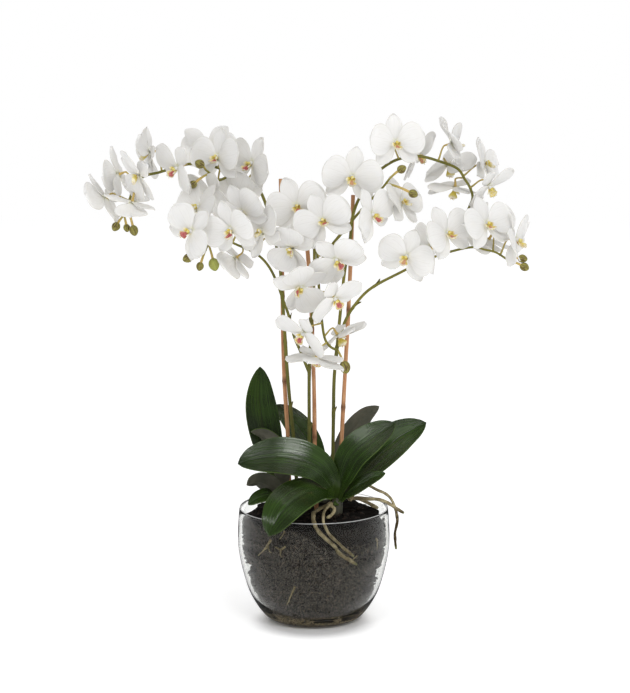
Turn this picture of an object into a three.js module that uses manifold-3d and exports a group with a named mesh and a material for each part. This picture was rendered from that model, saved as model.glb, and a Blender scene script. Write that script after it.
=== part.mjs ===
// Moth orchid in a glass vase: three bamboo stakes, three flower stems with arching sprays of white
// blooms, two leaf rosettes and aerial roots, standing in potting mix in a bellied clear vase.
// Millimetres, +Z up, the origin in the middle of the vase's flat base, the front towards -Y.

import * as THREE from 'three';
import { mergeVertices } from 'three/addons/utils/BufferGeometryUtils.js';
import Module from 'manifold-3d';

const wasm = await Module();
wasm.setup();

// Driving dimensions.
const VASE_RADIUS = 120.5;
const VASE_HEIGHT = 179;
const VASE_WALL = 3;
const VASE_FLOOR = 9;
const VASE_SIDES = 28;
const SOIL_TOP = 171;
const SOIL_CLEARANCE = 8.5;
const SOIL_SIDES = 20;
const FIT_GAP = 0.35;
const STAKE_RADIUS = 3.2;
const STEM_RADIUS = 2.7;
const SPRAY_RADIUS = 2.2;
const PEDICEL_RADIUS = 1.3;
const BLOOM_WIDTH = 88;
const PETAL_THICKNESS = 0.8;
const LEAF_THICKNESS = 1.8;
const ROOT_RADIUS = 2.6;

const orchid = new THREE.Group();

// Solids.

const toSolid = (geometry) => {
  const bare = new THREE.BufferGeometry();
  bare.setAttribute('position', geometry.getAttribute('position'));
  bare.setIndex(geometry.getIndex());
  const merged = mergeVertices(bare, 1e-4);
  const solid = new wasm.Manifold(new wasm.Mesh({
    numProp: 3,
    vertProperties: new Float32Array(merged.getAttribute('position').array),
    triVerts: new Uint32Array(merged.getIndex().array),
  }));
  return solid;
};

const toGeometry = (solid) => {
  const mesh = solid.getMesh();
  const geometry = new THREE.BufferGeometry();
  geometry.setAttribute('position', new THREE.BufferAttribute(mesh.vertProperties, 3));
  geometry.setIndex(new THREE.BufferAttribute(mesh.triVerts, 1));
  geometry.computeVertexNormals();
  return geometry;
};

const fuse = (geometries) => geometries
  .map(toSolid)
  .reduce((whole, piece) => whole.add(piece));

const addNode = (name, solid, color, roughness, metalness = 0) => {
  const material = new THREE.MeshStandardMaterial({ color, roughness, metalness });
  const mesh = new THREE.Mesh(toGeometry(solid), material);
  mesh.name = name;
  orchid.add(mesh);
};

// A tube of few sides along a smooth curve through points.
const tube = (points, radius, sides, steps) => {
  const path = new THREE.CatmullRomCurve3(points, false, 'centripetal');
  const section = new THREE.Shape();
  for (let i = 0; i < sides; i += 1) {
    const angle = (i / sides) * 2 * Math.PI;
    const [x, y] = [radius * Math.cos(angle), radius * Math.sin(angle)];
    if (i === 0) section.moveTo(x, y);
    else section.lineTo(x, y);
  }
  section.closePath();
  return new THREE.ExtrudeGeometry(section, { steps, extrudePath: path, bevelEnabled: false });
};

// A thin closed blade. Each row is one point or a row of points across the upper face; the lower
// face repeats it a thickness below, split into triangles the same way.
const blade = (rows, normals, thickness) => {
  const upper = [];
  const first = rows.map((row) => {
    const start = upper.length;
    upper.push(...row);
    return start;
  });
  const lower = [];
  rows.forEach((row, i) => {
    row.forEach((point) => lower.push(point.clone().addScaledVector(normals[i], -thickness)));
  });
  const count = upper.length;
  const index = [];
  const face = (a, b, c) => {
    index.push(a, b, c);
    index.push(a + count, c + count, b + count);
  };
  const wall = (a, b) => {
    index.push(a, a + count, b + count);
    index.push(a, b + count, b);
  };
  for (let i = 0; i + 1 < rows.length; i += 1) {
    const [near, far] = [rows[i].length, rows[i + 1].length];
    const [a, b] = [first[i], first[i + 1]];
    if (near === 1) {
      for (let j = 0; j + 1 < far; j += 1) face(a, b + j + 1, b + j);
    } else if (far === 1) {
      for (let j = 0; j + 1 < near; j += 1) face(a + j, a + j + 1, b);
    } else {
      for (let j = 0; j + 1 < near; j += 1) {
        face(a + j, a + j + 1, b + j + 1);
        face(a + j, b + j + 1, b + j);
      }
    }
    wall(b, a);
    wall(a + near - 1, b + far - 1);
  }
  const geometry = new THREE.BufferGeometry();
  geometry.setFromPoints([...upper, ...lower]);
  geometry.setIndex(index);
  return geometry;
};

// A place as it is seen from the front: across and up in the plane of the vase's axis, then moved
// towards the viewer along the line of sight.
const EYE = new THREE.Vector3(0, -3000, 880);
const place = ([across, up, toward]) => new THREE.Vector3(across, 0, up)
  .lerp(EYE, toward / -EYE.y);
const places = (list) => list.map(place);

// Vase: one blown glass bowl with a thick flat base and a rounded rim.
const vaseOutside = [
  [0, 0], [67, 0], [80, 8], [92, 24], [104, 48], [114.5, 84], [VASE_RADIUS, 131],
  [118, VASE_HEIGHT - 1.5], [117, VASE_HEIGHT],
];
const vaseInside = [
  [115.6, VASE_HEIGHT], [VASE_RADIUS - VASE_WALL, 131], [111.3, 84], [100, 48], [87, 24],
  [64, VASE_FLOOR], [0, VASE_FLOOR],
];
const lathe = (profile, sides) => {
  const points = profile.map(([radius, height]) => new THREE.Vector2(radius, height));
  const geometry = new THREE.LatheGeometry(points, sides);
  geometry.rotateX(Math.PI / 2);
  return geometry;
};
addNode('vase', toSolid(lathe([...vaseOutside, ...vaseInside], VASE_SIDES)), 0xe6ebea, 0.03);

// Stakes: slim bamboo canes with a few raised rings, each pushed deep into the mix.
const STAKES = [
  {
    name: 'stake_left',
    route: [[-36, 40, -34], [-38, 190, -34], [-41, 293, -32], [-47, 403, -30], [-49, 560, -28],
      [-51, 697, -26]],
    rings: [0.52, 0.72],
  },
  {
    name: 'stake_middle',
    route: [[5, 40, -8], [4, 190, -8], [2, 259, -8], [0, 388, -8], [-7, 551, -8], [-15, 641, -8]],
    rings: [0.42, 0.7],
  },
  {
    name: 'stake_right',
    route: [[38, 40, -22], [40, 190, -22], [43, 267, -24], [49, 390, -26], [55, 508, -28],
      [61, 672, -30]],
    rings: [0.47, 0.72],
  },
];
const ring = (path, t, radius, height, sides) => {
  const geometry = new THREE.CylinderGeometry(radius, radius, height, sides);
  const turn = new THREE.Quaternion()
    .setFromUnitVectors(new THREE.Vector3(0, 1, 0), path.getTangentAt(t));
  geometry.applyQuaternion(turn);
  const at = path.getPointAt(t);
  geometry.translate(at.x, at.y, at.z);
  return geometry;
};
STAKES.forEach(({ name, route, rings }) => {
  const points = places(route);
  const path = new THREE.CatmullRomCurve3(points, false, 'centripetal');
  const pieces = [tube(points, STAKE_RADIUS, 6, 6)];
  rings.forEach((t) => pieces.push(ring(path, t, STAKE_RADIUS + 0.6, 3, 5)));
  addNode(name, fuse(pieces), 0xb37a52, 0.7);
});

// Flower stems. Each has a main stem from deep in the mix to the tip of its spray, and branches.
// A bloom or bud hangs on a thin pedicel from the nearest point of its spray.
const STEMS = {
  left: {
    main: [[-24, 60, -30], [-26, 190, -30], [-31, 281, -24], [-37, 342, -20], [-42, 403, -18],
      [-47, 485, -16], [-54, 572, -16], [-66, 625, -20], [-75, 660, -24], [-86, 682, -26],
      [-104, 695, -26], [-132, 708, -24], [-162, 718, -22], [-191, 720, -22], [-216, 714, -22],
      [-239, 707, -22], [-262, 701, -22], [-278, 686, -22], [-284, 668, -22], [-289, 655, -22],
      [-294, 641, -22]],
    branches: { twig: [[-126, 705, -24], [-148, 695, 12], [-161, 706, 26], [-168, 712, 30]] },
    buds: [
      { at: [-307, 623, -20], from: [-294, 641, -22], size: 15 },
      { at: [-290, 621, -26], from: [-294, 641, -22], size: 13 },
      { at: [-279, 617, -16], from: [-289, 655, -22], size: 17 },
      { on: 'twig', at: [-176, 720, 34], from: [-166, 711, 28], size: 16 },
      { on: 'twig', at: [-187, 688, 30], from: [-161, 706, 26], size: 14 },
    ],
  },
  middle: {
    main: [[-8, 60, -2], [-7, 190, -2], [-7, 286, 0], [-7, 393, 4], [-4, 461, 6], [-1, 508, 8],
      [1, 548, 12], [1, 590, 22], [1, 614, 38], [2, 620, 56], [4, 606, 70], [6, 575, 78],
      [8, 530, 82], [13, 474, 84], [18, 446, 82], [27, 434, 80], [38, 429, 78]],
    branches: {
      b: [[-7, 393, 4], [-21, 428, 12], [-31, 452, 20], [-40, 487, 28], [-49, 512, 34],
        [-57, 535, 38], [-70, 561, 42], [-87, 579, 46], [-115, 593, 50], [-142, 602, 52],
        [-163, 595, 52], [-169, 584, 52]],
      g: [[0, 538, 11], [12, 570, 14], [31, 598, 15], [52, 622, 14], [66, 640, 12], [90, 666, 10],
        [107, 684, 10], [117, 697, 10]],
    },
    buds: [
      { on: 'b', at: [-196, 574, 52], from: [-169, 584, 52], size: 16 },
      { on: 'b', at: [-177, 561, 48], from: [-169, 584, 52], size: 14 },
      { on: 'b', at: [-155, 564, 56], from: [-163, 595, 52], size: 20 },
      { at: [49, 402, 74], from: [38, 429, 78], size: 20 },
      { on: 'g', at: [136, 712, 14], from: [117, 697, 10], size: 15 },
      { on: 'g', at: [154, 674, 14], from: [112, 690, 10], size: 15 },
    ],
  },
  right: {
    main: [[27, 60, -16], [29, 190, -14], [30, 249, -14], [31, 318, -14], [32, 382, -15],
      [36, 429, -16], [42, 493, -18], [48, 552, -20], [56, 600, -22], [62, 645, -24],
      [76, 678, -25], [90, 698, -26], [108, 715, -28], [130, 727, -30], [162, 732, -32],
      [200, 722, -32], [223, 712, -32], [234, 696, -32], [242, 683, -30], [246, 668, -30],
      [242, 656, -30], [238, 646, -30]],
    branches: {
      e: [[36, 429, -16], [46, 467, -6], [57, 490, 2], [77, 516, 10], [96, 531, 16],
        [134, 551, 20], [162, 565, 22], [188, 576, 22], [224, 587, 22], [249, 591, 22],
        [267, 587, 22], [283, 583, 22], [305, 569, 22]],
    },
    buds: [
      { on: 'e', at: [325, 573, 18], from: [300, 573, 22], size: 15 },
      { on: 'e', at: [328, 560, 22], from: [305, 569, 22], size: 15 },
    ],
  },
};
// Which stem and which of its branches carries each spray's blooms.
const SPRAYS = {
  a: ['left'], b: ['middle', 'b'], c: ['middle'], d: ['right'], e: ['right', 'e'], g: ['middle', 'g'],
};

// Blooms: where the middle of each is seen, how it is turned right, tilted up and rolled clockwise
// in degrees, and its width where that isn't the usual one.
const BLOOMS = {
  a: [
    { at: [-302, 704, -43], turn: -105, tilt: -15, roll: 5 },
    { at: [-322, 667, -30], turn: -105, tilt: -35, roll: 145 },
    { at: [-272, 704, 48], turn: -60, tilt: -25, roll: -60 },
    { at: [-253, 738, -57], turn: -84, tilt: -8, roll: -34 },
    { at: [-210, 714, 36], turn: -55, tilt: -18, roll: 40 },
    { at: [-281, 661, 25], turn: -130, tilt: -74, roll: 56 },
    { at: [-163, 746, -60], turn: 175, tilt: 0, roll: 185 },
    { at: [-148, 731, 6], turn: -32, tilt: 8, roll: 2 },
    { at: [-95, 721, -20], turn: -45, tilt: 0, roll: 25 },
    { at: [-120, 671, -15], turn: -17, tilt: -17, roll: -53 },
    { at: [-159, 677, 8], turn: -45, tilt: -35, roll: 40 },
  ],
  b: [
    { at: [-190, 616, 84], turn: -38, tilt: 0, roll: 50 },
    { at: [-179, 652, 40], turn: -45, tilt: 30, roll: 20 },
    { at: [-128, 619, 100], turn: -30, tilt: -12, roll: -14 },
    { at: [-110, 646, 76], turn: -35, tilt: -10, roll: -30 },
    { at: [-80, 616, 80], turn: -50, tilt: 10, roll: -25 },
    { at: [-121, 574, 34], turn: -108, tilt: -40, roll: 20 },
  ],
  c: [
    { at: [-27, 655, 40], turn: 5, tilt: 5, roll: -20, width: 92 },
    { at: [14, 632, 78], turn: -2, tilt: 15, roll: -26 },
    { at: [-37, 591, 83], turn: -28, tilt: -30, roll: -60 },
    { at: [36, 572, 108], turn: 5, tilt: -30, roll: -45 },
    { at: [-21, 529, 112], turn: 16, tilt: -31, roll: 60 },
    { at: [32, 511, 122], turn: 44, tilt: -38, roll: -46 },
    { at: [-15, 456, 119], turn: -55, tilt: -40, roll: 45 },
    { at: [38, 453, 53], turn: 102, tilt: -54, roll: 70 },
    { at: [4, 417, 99], turn: -125, tilt: -78, roll: 107 },
  ],
  d: [
    { at: [59, 700, 14], turn: 3, tilt: -6, roll: 7, width: 92 },
    { at: [126, 754, 0], turn: 18, tilt: 6, roll: -2 },
    { at: [158, 735, -82], turn: 68, tilt: -20, roll: -36 },
    { at: [213, 752, -26], turn: 82, tilt: 22, roll: 10 },
    { at: [207, 718, -76], turn: 129, tilt: -52, roll: 27 },
    { at: [263, 721, -58], turn: 68, tilt: 16, roll: 19 },
    { at: [270, 686, -6], turn: 62, tilt: -42, roll: -50 },
    { at: [219, 684, -64], turn: 180, tilt: -75, roll: -30 },
    { at: [238, 636, -18], turn: 88, tilt: -40, roll: 28 },
  ],
  e: [
    { at: [145, 577, 40], turn: -18, tilt: -10, roll: 20 },
    { at: [207, 612, 46], turn: 32, tilt: 18, roll: -20 },
    { at: [268, 627, 42], turn: 30, tilt: 15, roll: -10 },
    { at: [271, 602, -26], turn: -112, tilt: -55, roll: 0 },
    { at: [314, 602, 24], turn: 66, tilt: 0, roll: -20 },
    { at: [181, 590, -12], turn: -118, tilt: 5, roll: -28 },
  ],
  g: [
    { at: [90, 641, 54], turn: 53, tilt: 0, roll: -28 },
    { at: [135, 661, 5], turn: 60, tilt: 25, roll: 5 },
  ],
};
// The bloom in its own frame, facing +Z with its back sepal up. The three sepals are one plate
// behind, the two petals one folded blade in front, and the column runs through both.
const SEPAL_ANGLES = [90, 222, 318];
const SEPAL_EDGE = [[22, -13.5], [36, -9.5], [44, 0], [36, 9.5], [22, 13.5]];
const SEPAL_WAIST = 6.5;
const SEPAL_BACK = -1.6;
const SEPAL_BEND = -1.8;
const PETAL_ANGLE = 10;
const PETAL_ROWS = [[45, 0, 8], [38, 16.5, 6.5], [25, 23, 4.5], [10, 13, 2.2]];
const PETAL_WAIST = 5;
const PETAL_FRONT = 1;
const PETAL_FOLD = 1.5;
const COLUMN_BACK = -1.2;
const degrees = (angle) => THREE.MathUtils.degToRad(angle);
const sepals = () => {
  const outline = [];
  SEPAL_ANGLES.forEach((angle, i) => {
    const arm = degrees(angle);
    SEPAL_EDGE.forEach(([out, across]) => {
      outline.push(new THREE.Vector2(out, across).rotateAround(new THREE.Vector2(), arm));
    });
    const next = SEPAL_ANGLES[(i + 1) % SEPAL_ANGLES.length] + (i === 2 ? 360 : 0);
    const between = degrees((angle + next) / 2);
    outline.push(new THREE.Vector2(SEPAL_WAIST, 0).rotateAround(new THREE.Vector2(), between));
  });
  const options = { depth: PETAL_THICKNESS, bevelEnabled: false };
  const plate = new THREE.ExtrudeGeometry(new THREE.Shape(outline), options);
  const position = plate.getAttribute('position');
  for (let i = 0; i < position.count; i += 1) {
    const out = Math.hypot(position.getX(i), position.getY(i)) / SEPAL_EDGE[2][0];
    position.setZ(i, position.getZ(i) + SEPAL_BACK + SEPAL_BEND * out * out);
  }
  return plate;
};
const petals = () => {
  const petalRow = (side) => ([out, half, lift]) => {
    const angle = degrees(PETAL_ANGLE);
    const [x, y] = [side * out * Math.cos(angle), out * Math.sin(angle)];
    const [dx, dy] = [-side * half * Math.sin(angle), half * Math.cos(angle)];
    const z = PETAL_FRONT + lift;
    const middle = new THREE.Vector3(x, y, z);
    if (half === 0) return [middle];
    const upper = new THREE.Vector3(x + dx, y + dy, z + PETAL_FOLD);
    const lower = new THREE.Vector3(x - dx, y - dy, z + PETAL_FOLD);
    return [upper, middle, lower];
  };
  const waist = [PETAL_WAIST, 0, -PETAL_WAIST].map((y) => new THREE.Vector3(0, y, PETAL_FRONT));
  const rightSide = PETAL_ROWS.map(petalRow(1)).reverse();
  const rows = [...PETAL_ROWS.map(petalRow(-1)), waist, ...rightSide];
  const normals = rows.map(() => new THREE.Vector3(0, 0, 1));
  return blade(rows, normals, PETAL_THICKNESS);
};
const column = () => {
  const length = 9 - COLUMN_BACK;
  const geometry = new THREE.CylinderGeometry(2.6, 3.4, length, 4);
  geometry.rotateX(Math.PI / 2);
  geometry.translate(0, 0.5, COLUMN_BACK + length / 2);
  return geometry;
};
const lip = () => {
  const geometry = new THREE.CylinderGeometry(7.5, 2.2, 15, 4);
  geometry.scale(1, 1, 0.5);
  geometry.rotateX(degrees(135));
  geometry.translate(0, -6.2, 9);
  return geometry;
};
const bloomSolid = fuse([sepals(), petals(), column(), lip()]);

// A bloom's turn: it faces the viewer, then rolls, tilts up and turns right.
const bloomTurn = ({ turn, tilt, roll }) => {
  const facing = new THREE.Matrix4().makeRotationX(Math.PI / 2);
  const rolled = new THREE.Matrix4().makeRotationY(degrees(roll));
  const tilted = new THREE.Matrix4().makeRotationX(degrees(-tilt));
  const turned = new THREE.Matrix4().makeRotationZ(degrees(turn));
  return turned.multiply(tilted).multiply(rolled).multiply(facing);
};
const bloomMatrix = (bloom) => {
  const centre = place(bloom.at);
  const size = (bloom.width ?? BLOOM_WIDTH) / BLOOM_WIDTH;
  const matrix = bloomTurn(bloom);
  matrix.scale(new THREE.Vector3(size, size, size));
  matrix.setPosition(centre);
  return matrix;
};
Object.entries(BLOOMS).forEach(([spray, blooms]) => {
  blooms.forEach((bloom, i) => {
    const geometry = toGeometry(bloomSolid).applyMatrix4(bloomMatrix(bloom));
    addNode(`bloom_${spray}${i + 1}`, toSolid(geometry), 0xe9e8e4, 0.55);
  });
});

const stemSteps = (points) => Math.round(1.15 * points.length);

// The point of a stem's centre line nearest to a place.
const nearest = (points, place) => {
  const path = new THREE.CatmullRomCurve3(places(points), false, 'centripetal');
  const joints = path.getSpacedPoints(stemSteps(points));
  let best = joints[0];
  for (let i = 0; i + 1 < joints.length; i += 1) {
    const stretch = new THREE.Line3(joints[i], joints[i + 1]);
    const candidate = stretch.closestPointToPoint(place, true, new THREE.Vector3());
    if (candidate.distanceTo(place) < best.distanceTo(place)) best = candidate;
  }
  return best;
};

// A pedicel leaves its spray, bends to the axis of its bloom, and ends a fit gap behind it.
const PEDICEL_BEND = -14;
const PEDICEL_STRAIGHT = -5;
const behindBloom = (bloom, depth) => new THREE.Vector3(0, 0, depth)
  .applyMatrix4(bloomMatrix(bloom));
const pedicel = (from, bloom) => {
  const depths = [PEDICEL_BEND, PEDICEL_STRAIGHT, SEPAL_BACK - FIT_GAP];
  const route = depths.map((depth) => behindBloom(bloom, depth));
  return tube([from, ...route], PEDICEL_RADIUS, 3, 2);
};
const bud = (points, { at, from, size }) => {
  const tip = place(at);
  const root = nearest(points, place(from));
  const body = new THREE.IcosahedronGeometry(size / 2);
  const turn = new THREE.Quaternion()
    .setFromUnitVectors(new THREE.Vector3(0, 1, 0), tip.clone().sub(root).normalize());
  body.scale(0.86, 1.15, 0.86);
  body.applyQuaternion(turn);
  body.translate(tip.x, tip.y, tip.z);
  return [body, tube([root, root.clone().lerp(tip, 0.5), tip], PEDICEL_RADIUS, 3, 2)];
};

Object.entries(STEMS).forEach(([side, { main, branches, buds }]) => {
  const pieces = [tube(places(main), STEM_RADIUS, 5, stemSteps(main))];
  Object.values(branches).forEach((points) => {
    pieces.push(tube(places(points), SPRAY_RADIUS, 5, stemSteps(points)));
  });
  Object.entries(SPRAYS).forEach(([spray, [owner, branch]]) => {
    if (owner !== side) return;
    const points = branch ? branches[branch] : main;
    BLOOMS[spray].forEach((bloom) => {
      pieces.push(pedicel(nearest(points, behindBloom(bloom, PEDICEL_BEND)), bloom));
    });
  });
  buds.forEach((item) => pieces.push(...bud(item.on ? branches[item.on] : main, item)));
  addNode(`flower_stem_${side}`, fuse(pieces), 0x6d6420, 0.5);
});

// Leaves: long strap blades folded along the midrib. Each starts inside its crown, follows its
// midrib, and looks along its face.
const LEAF_STATIONS = [[0.14, 0.4], [0.32, 0.76], [0.52, 0.98], [0.72, 0.96], [0.89, 0.62]];
const LEAF_FOLD = 0.16;
const leaf = ({ midrib, half, face }) => {
  const path = new THREE.CatmullRomCurve3(places(midrib), false, 'centripetal');
  const look = new THREE.Vector3(...face).normalize();
  const normalAt = (t) => {
    const along = path.getTangentAt(t);
    return look.clone().addScaledVector(along, -look.dot(along)).normalize();
  };
  const rows = [[path.getPointAt(0)]];
  const normals = [normalAt(0)];
  LEAF_STATIONS.forEach(([t, share]) => {
    const normal = normalAt(t);
    const across = normal.clone().cross(path.getTangentAt(t));
    const middle = path.getPointAt(t);
    const edge = (side) => middle.clone()
      .addScaledVector(across, side * half * share)
      .addScaledVector(normal, half * share * LEAF_FOLD);
    rows.push([edge(1), middle, edge(-1)]);
    normals.push(normal);
  });
  rows.push([path.getPointAt(1)]);
  normals.push(normalAt(1));
  return blade(rows, normals, LEAF_THICKNESS);
};
const CROWN_RADIUS = 10;
const CROWN_HEIGHT = 34;
const ROSETTES = {
  left: {
    crown: [-50, 184, -4],
    leaves: [
      { midrib: [[-50, 190, -4], [-60, 236, -30], [-74, 286, -46], [-84, 345, -52], [-84, 403, -52]],
        half: 26, face: [0.25, -1, 0.1] },
      { midrib: [[-50, 190, -4], [-50, 236, -16], [-60, 272, -24], [-78, 294, -28], [-99, 300, -28]],
        half: 17, face: [0, 0.75, 0.65] },
      { midrib: [[-50, 188, -4], [-64, 208, 2], [-86, 220, 6], [-106, 214, 8]],
        half: 20, face: [-0.2, 0.7, 0.7] },
      { midrib: [[-50, 186, -4], [-66, 197, 14], [-88, 192, 22], [-104, 182, 24]],
        half: 15, face: [-0.3, -0.5, 0.8] },
    ],
  },
  right: {
    crown: [36, 184, 20],
    leaves: [
      { midrib: [[36, 190, 20], [28, 218, 36], [2, 246, 48], [-45, 259, 54], [-92, 256, 54],
        [-120, 248, 52]], half: 31, face: [0, -0.8, 0.6] },
      { midrib: [[36, 188, 20], [20, 202, 48], [-8, 202, 80], [-38, 183, 110], [-60, 155, 130],
        [-72, 131, 136]], half: 35, face: [-0.35, -0.75, 0.6] },
      { midrib: [[36, 190, 20], [46, 226, 34], [62, 262, 38], [96, 292, 36], [128, 313, 30]],
        half: 27, face: [-0.35, -0.8, 0.5] },
      { midrib: [[36, 188, 20], [62, 218, 6], [92, 252, -4], [134, 290, -14], [177, 314, -20]],
        half: 30, face: [-0.1, -0.75, 0.65] },
      { midrib: [[36, 186, 20], [58, 202, 40], [84, 220, 46], [113, 233, 46]],
        half: 13, face: [0, -0.6, 0.8] },
    ],
  },
  back: {
    crown: [14, 196, -62],
    leaves: [
      { midrib: [[14, 204, -62], [4, 252, -64], [-12, 288, -68], [-36, 320, -72], [-62, 342, -74]],
        half: 22, face: [0.2, -0.8, 0.5] },
      { midrib: [[14, 204, -62], [36, 250, -66], [56, 292, -72], [80, 324, -78], [103, 340, -80]],
        half: 17, face: [0.4, 0.9, 0.3] },
    ],
  },
};
const crownAt = (crown, grow) => {
  const centre = place(crown);
  const height = CROWN_HEIGHT + 2 * grow;
  const geometry = new THREE.CylinderGeometry(
    CROWN_RADIUS + grow, CROWN_RADIUS - 2 + grow, height, 8,
  );
  geometry.rotateX(Math.PI / 2);
  geometry.translate(centre.x, centre.y, centre.z - 8);
  return geometry;
};
Object.entries(ROSETTES).forEach(([side, { crown, leaves }]) => {
  addNode(`leaves_${side}`, fuse([crownAt(crown, 0), ...leaves.map(leaf)]), 0x2c4522, 0.3);
});

// Aerial roots: round, khaki, a little crooked, from a knot beside the right crown.
const ROOTS = {
  right: {
    knot: [58, 192, 12],
    routes: [
      { radius: ROOT_RADIUS, points: [[58, 192, 12], [73, 190, 8], [89, 183, 4], [102, 176, 0]] },
      { radius: ROOT_RADIUS, points: [[58, 192, 12], [81, 192, 16], [111, 188, 18], [129, 177, 18],
        [143, 168, 18]] },
      { radius: 2.2, points: [[58, 192, 12], [72, 207, 14], [84, 212, 14], [100, 206, 14],
        [118, 196, 14], [129, 177, 17], [132, 158, 16], [129, 132, 14], [131, 109, 14]] },
    ],
  },
  front: {
    knot: [26, 182, 52],
    routes: [
      { radius: ROOT_RADIUS, points: [[26, 182, 52], [33, 174, 56], [27, 164, 68], [21, 160, 76]] },
      { radius: 2.2, points: [[26, 182, 52], [17, 172, 70], [15, 163, 92], [16, 153, 108],
        [24, 135, 111], [40, 118, 107], [62, 98, 95]] },
      { radius: 3, points: [[26, 182, 52], [4, 172, 66], [-1, 162, 92], [3, 145, 110], [18, 127, 111],
        [32, 115, 107], [40, 103, 104], [66, 85, 88]] },
    ],
  },
};
const rootTubes = (routes, grow) => routes.map(({ radius, points }) => {
  const steps = Math.round(1.4 * points.length);
  return tube(places(points), radius + grow, 4, steps);
});
const knotAt = (knot) => {
  const centre = place(knot);
  return new THREE.IcosahedronGeometry(4.5).translate(centre.x, centre.y, centre.z);
};
Object.entries(ROOTS).forEach(([side, { knot, routes }]) => {
  addNode(`roots_${side}`, fuse([knotAt(knot), ...rootTubes(routes, 0)]), 0x8f835c, 0.8);
});

// Potting mix: one ragged body a little clear of the glass, with plain holes for what stands in it.
const soilProfile = [
  [0, VASE_FLOOR + FIT_GAP], [58, VASE_FLOOR + FIT_GAP], [78, 24], [92, 48], [103, 84],
  [VASE_RADIUS - VASE_WALL - SOIL_CLEARANCE, 131], [107.5, 158], [98, SOIL_TOP],
  [40, SOIL_TOP + 1], [0, SOIL_TOP + 1],
];
const ragged = (geometry) => {
  const position = geometry.getAttribute('position');
  for (let i = 0; i < position.count; i += 1) {
    const [x, y, z] = [position.getX(i), position.getY(i), position.getZ(i)];
    const angle = Math.atan2(y, x);
    const wave = 0.5 * Math.sin(5 * angle + z / 13) + 0.5 * Math.sin(8 * angle - z / 9);
    const scale = 1 - 0.012 * (1 + wave);
    if (z > VASE_FLOOR + 1) position.setXY(i, x * scale, y * scale);
  }
  return geometry;
};
// A hole for a stake or stem: its own tube, a fit gap wider and reaching a fit gap lower.
const hole = (route, radius, sides, steps) => {
  const [foot, ...rest] = places(route);
  foot.z -= FIT_GAP;
  return toSolid(tube([foot, ...rest], radius + FIT_GAP, sides, steps));
};
let soil = toSolid(ragged(lathe(soilProfile, SOIL_SIDES)));
STAKES.forEach(({ route }) => {
  soil = soil.subtract(hole(route, STAKE_RADIUS, 6, 6));
});
Object.values(STEMS).forEach(({ main }) => {
  soil = soil.subtract(hole(main, STEM_RADIUS, 5, stemSteps(main)));
});
Object.values(ROSETTES).forEach(({ crown }) => {
  soil = soil.subtract(toSolid(crownAt(crown, FIT_GAP)));
});
rootTubes([...ROOTS.right.routes, ...ROOTS.front.routes], FIT_GAP).forEach((groove) => {
  soil = soil.subtract(toSolid(groove));
});
addNode('potting_mix', soil, 0x3d3836, 0.95);

export default orchid;
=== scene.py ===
import math
import random

import bmesh
import bpy
from mathutils import Matrix, Vector, noise
from mathutils.geometry import interpolate_bezier


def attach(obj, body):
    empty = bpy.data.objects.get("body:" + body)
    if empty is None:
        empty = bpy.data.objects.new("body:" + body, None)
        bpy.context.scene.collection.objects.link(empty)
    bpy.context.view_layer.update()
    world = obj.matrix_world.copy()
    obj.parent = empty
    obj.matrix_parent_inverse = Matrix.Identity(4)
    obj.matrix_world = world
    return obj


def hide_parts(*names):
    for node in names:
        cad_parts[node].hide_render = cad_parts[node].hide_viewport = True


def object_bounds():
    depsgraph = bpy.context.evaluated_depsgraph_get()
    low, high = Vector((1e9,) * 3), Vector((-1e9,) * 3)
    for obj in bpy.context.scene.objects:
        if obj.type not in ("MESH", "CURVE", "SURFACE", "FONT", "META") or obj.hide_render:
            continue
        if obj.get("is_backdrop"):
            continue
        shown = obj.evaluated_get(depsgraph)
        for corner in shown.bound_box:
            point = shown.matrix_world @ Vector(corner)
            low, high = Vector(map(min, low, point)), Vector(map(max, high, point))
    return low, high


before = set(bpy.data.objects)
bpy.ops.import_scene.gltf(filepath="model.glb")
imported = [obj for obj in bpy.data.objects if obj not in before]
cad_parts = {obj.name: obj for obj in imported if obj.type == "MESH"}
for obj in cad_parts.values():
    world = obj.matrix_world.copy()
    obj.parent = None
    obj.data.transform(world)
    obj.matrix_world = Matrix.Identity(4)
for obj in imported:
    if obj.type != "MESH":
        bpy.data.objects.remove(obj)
cad_low, cad_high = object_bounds()

# Vase.
# One blown bowl of clear glass. The wall is 3 mm thick and grows into a heavy flat foot. The rim
# is cut and ground, so it shows as a pale line.
MM = 0.001
VASE_OUTSIDE = [
    (0, 0), (34, 0), (64, 0), (72, 2.6), (80, 8.5), (92, 24.5), (104, 48), (114.3, 84),
    (119.4, 112), (120.4, 133), (119.4, 157), (118.1, 174), (117.4, 178.2), (116.6, 179),
]
VASE_INSIDE = [
    (116.6, 179), (115.8, 178.3), (115.6, 174), (116.7, 157), (117.4, 133), (116.4, 112),
    (111.2, 84), (100.6, 48), (87.5, 25.5), (74, 13), (62, 9.4), (30, 9), (0, 9),
]
GROUND_RIM_FROM = 177.9


def smooth_path(points, steps):
    """A smooth line through points, with some steps between each two."""
    ends = [2 * points[0] - points[1], *points, 2 * points[-1] - points[-2]]
    line = []
    for before, start, end, after in zip(ends, ends[1:], ends[2:], ends[3:]):
        reach = (end - start).length / 3
        leave = (end - before).normalized() * reach
        arrive = (after - start).normalized() * reach
        line += interpolate_bezier(start, start + leave, end - arrive, end, steps + 1)[:-1]
    return [*line, points[-1].copy()]


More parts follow.
